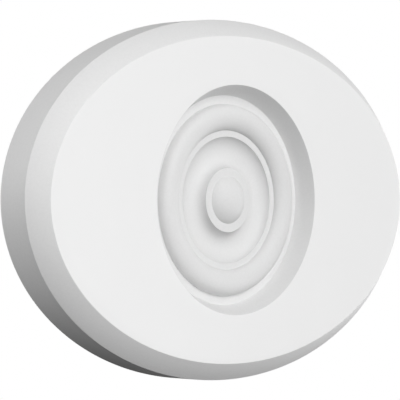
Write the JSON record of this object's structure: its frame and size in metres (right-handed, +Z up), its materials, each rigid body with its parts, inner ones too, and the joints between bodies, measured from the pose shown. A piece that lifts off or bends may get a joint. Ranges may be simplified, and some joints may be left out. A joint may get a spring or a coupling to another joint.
{
  "type": "bullseye rosette",
  "caption": "Oval trim block with a bevelled front rim and a round bullseye of fillets, bead, cove and button sunk into its face; flat back for fixing to a wall.",
  "frame": {"origin": "centre of the flat back face, where the oval's two axes cross", "axes": "+X across the width, +Z up, +Y into the wall; the decorated face looks towards -Y"},
  "size_m": [0.1524, 0.0143, 0.1016],
  "materials": {
    "cellular_pvc": "satin, near white, smooth moulded skin"
  },
  "bodies": {
    "root": {"rosette": "cellular_pvc"}
  },
  "joints": []
}
